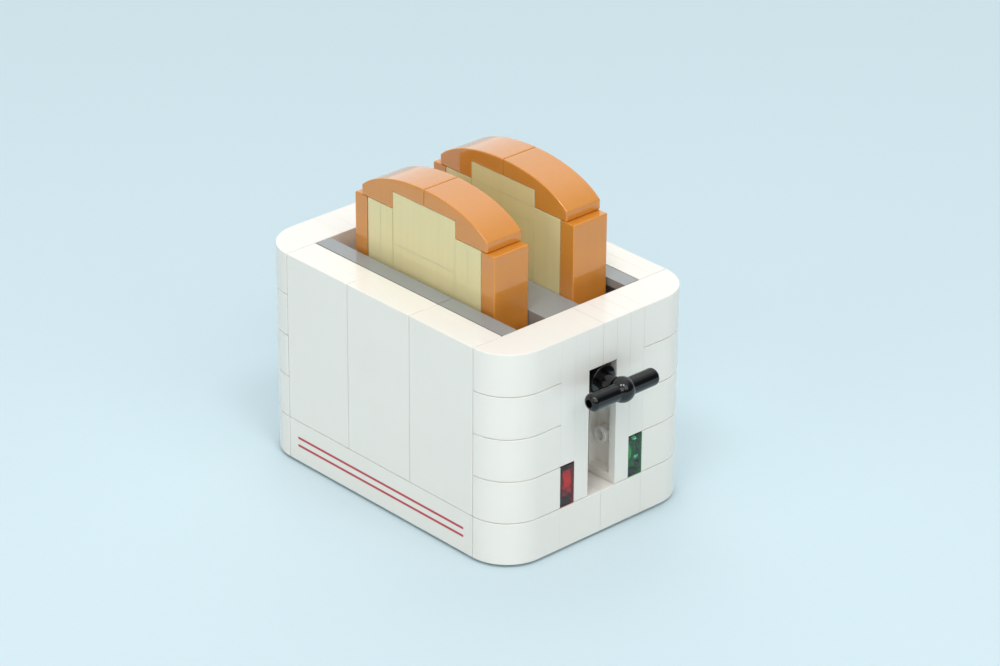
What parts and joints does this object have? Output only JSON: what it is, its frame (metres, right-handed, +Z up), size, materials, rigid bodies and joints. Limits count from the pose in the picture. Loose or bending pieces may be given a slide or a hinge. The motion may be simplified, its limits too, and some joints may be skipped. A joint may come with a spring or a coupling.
{
  "type": "toy brick toaster model",
  "caption": "Toaster model built from interlocking toy bricks laid on their sides, with a sliding lever, lift-out slices of toast and small coloured light windows.",
  "frame": {"origin": "on the resting face, under the middle of the bounding box, lever included", "axes": "+Z up, +Y from the lever towards the back, +X to the right seen from the lever"},
  "size_m": [0.0448, 0.0708, 0.0587],
  "materials": {
    "white_plastic": "gloss",
    "grey_plastic": "gloss",
    "black_plastic": "gloss",
    "crust_plastic": "gloss",
    "crumb_plastic": "gloss",
    "clear_red_plastic": "gloss",
    "clear_green_plastic": "gloss"
  },
  "bodies": {
    "casing": {"back_inner_plates": "white_plastic", "back_middle_plates": "white_plastic", "back_outer_plates": "white_plastic", "base_bricks_back": "white_plastic", "base_bricks_front": "white_plastic", "base_tile_left": "white_plastic", "base_tile_right": "white_plastic", "corner_bricks_back_left": "white_plastic", "corner_bricks_back_right": "white_plastic", "corner_bricks_front_left": "white_plastic", "corner_bricks_front_right": "white_plastic", "floor_plate": "grey_plastic", "floor_spacers": "white_plastic", "front_inner_plates": "white_plastic", "front_lintel_plates": "white_plastic", "front_outer_plates": "white_plastic", "green_light_plate": "clear_green_plastic", "jumper_plates": "grey_plastic", "middle_strip": "grey_plastic", "red_light_plate": "clear_red_plastic", "side_tiles_left": "white_plastic", "side_tiles_right": "white_plastic", "slot_strips_left": "grey_plastic", "slot_strips_right": "grey_plastic", "spine_long_bricks": "grey_plastic", "spine_short_bricks": "grey_plastic", "wall_brackets": "white_plastic", "wall_plate_left": "white_plastic", "wall_plate_right": "white_plastic", "wall_top_plates_left": "white_plastic", "wall_top_plates_right": "white_plastic"},
    "carriage": {"carriage_arms": "black_plastic", "carriage_crossbar": "black_plastic", "carriage_upright": "black_plastic", "lever_socket": "black_plastic"},
    "handle": {"lever_handle": "black_plastic"},
    "slice_left": {"left_slice_core": "crumb_plastic", "left_slice_crumb_plates": "crumb_plastic", "left_slice_crust_tiles": "crust_plastic", "left_slice_crust_tops": "crust_plastic", "left_slice_foot_bricks": "crumb_plastic"},
    "slice_right": {"right_slice_core": "crumb_plastic", "right_slice_crumb_plates": "crumb_plastic", "right_slice_crust_tiles": "crust_plastic", "right_slice_crust_tops": "crust_plastic", "right_slice_foot_bricks": "crumb_plastic"}
  },
  "joints": [
    {"name": "lever_slide", "type": "slide", "parent": "casing", "child": "carriage", "axis": [0, 0, 1], "range_m": [-0.0139, 0]},
    {"name": "handle_turn", "type": "hinge", "parent": "carriage", "child": "handle", "pos_m": [0, -0.03313, 0.0292], "axis": [0, 1, 0], "continuous": true},
    {"name": "slice_left_lift", "type": "slide", "parent": "carriage", "child": "slice_left", "axis": [0, 0, 1], "range_m": [0, 0.04]},
    {"name": "slice_right_lift", "type": "slide", "parent": "carriage", "child": "slice_right", "axis": [0, 0, 1], "range_m": [0, 0.04]}
  ]
}
